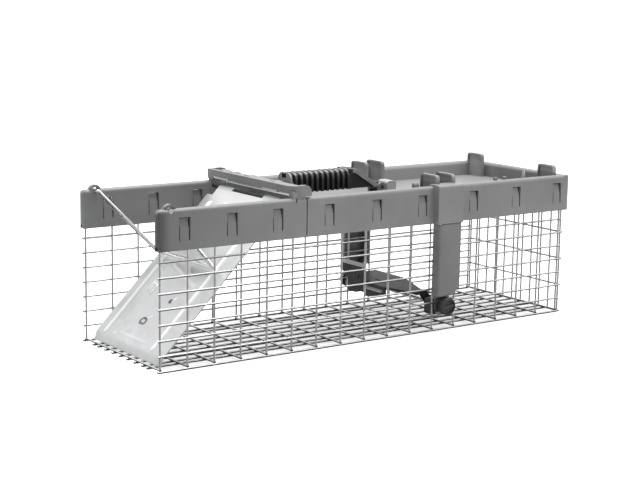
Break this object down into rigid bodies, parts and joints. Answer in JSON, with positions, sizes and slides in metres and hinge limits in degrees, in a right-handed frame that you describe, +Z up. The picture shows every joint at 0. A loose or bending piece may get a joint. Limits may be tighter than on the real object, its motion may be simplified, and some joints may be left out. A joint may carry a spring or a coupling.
{
  "type": "live catch trap",
  "caption": "Long welded-wire cage trap with a sloping sheet-metal gravity door, hinged lock bar, moulded top frame, lifting handle and rocking treadle.",
  "frame": {"origin": "on the ground plane under the middle of the trap", "axes": "+X along the cage from the door end to the closed end, +Y across the cage, +Z up"},
  "size_m": [0.4444, 0.1556, 0.1439],
  "materials": {
    "zinc_wire": "bright galvanised wire",
    "zinc_sheet": "bright galvanised sheet with faint spangle",
    "plated_steel": "bright zinc-plated rod",
    "grey_plastic": "moulded grey plastic with a fine grain",
    "light_plastic": "moulded light grey plastic",
    "dark_plastic": "moulded dark grey plastic",
    "black_plastic": "semi-gloss black plastic",
    "grip_rubber": "satin black ribbed grip",
    "dark_sheet": "dark grey coated sheet"
  },
  "bodies": {
    "cage": {"side_mesh_near": "zinc_wire", "side_mesh_far": "zinc_wire", "floor_mesh": "zinc_wire", "rear_mesh": "zinc_wire", "front_frame": "grey_plastic", "rear_cover": "grey_plastic", "trigger_guard_near": "grey_plastic", "trigger_guard_far": "grey_plastic", "pivot_block_near": "dark_plastic", "pivot_block_far": "dark_plastic", "handle_stop_block": "light_plastic", "rear_tab": "light_plastic", "hinge_clip_near": "zinc_sheet", "hinge_clip_far": "zinc_sheet", "door_hinge_rod": "dark_sheet", "handle_pin": "plated_steel"},
    "door": {"door": "zinc_sheet"},
    "lock_bar": {"lock_bar": "plated_steel"},
    "handle": {"handle_lever": "black_plastic", "handle_grip": "grip_rubber", "handle_end_cap": "light_plastic"},
    "treadle": {"treadle_pan": "dark_sheet", "treadle_axle": "plated_steel", "trigger_cam": "dark_plastic", "trigger_knob": "black_plastic", "axle_cap": "black_plastic"},
    "trigger_rod": {"trigger_rod": "plated_steel"}
  },
  "joints": [
    {"name": "door_hinge", "type": "hinge", "parent": "cage", "child": "door", "pos_m": [-0.09305, 0, 0.1271], "axis": [0, 1, 0], "range_deg": [0, 44]},
    {"name": "lock_bar_pivot", "type": "hinge", "parent": "cage", "child": "lock_bar", "pos_m": [-0.21005, 0, 0.1305], "axis": [0, 1, 0], "range_deg": [-132, 0]},
    {"name": "handle_pivot", "type": "hinge", "parent": "cage", "child": "handle", "pos_m": [0.0445, 0, 0.1252], "axis": [0, 1, 0], "range_deg": [0, 75]},
    {"name": "treadle_rock", "type": "hinge", "parent": "cage", "child": "treadle", "pos_m": [0.06905, 0, 0.0239], "axis": [0, 1, 0], "range_deg": [-10, 0]},
    {"name": "trigger_rod_slide", "type": "slide", "parent": "cage", "child": "trigger_rod", "axis": [0, 0, 1], "range_m": [0, 0.00098]}
  ],
  "couplings": [
    {"joint": "lock_bar_pivot", "follows": "door_hinge", "ratio": -3},
    {"joint": "trigger_rod_slide", "follows": "treadle_rock", "m_per_rad": -0.0055}
  ]
}
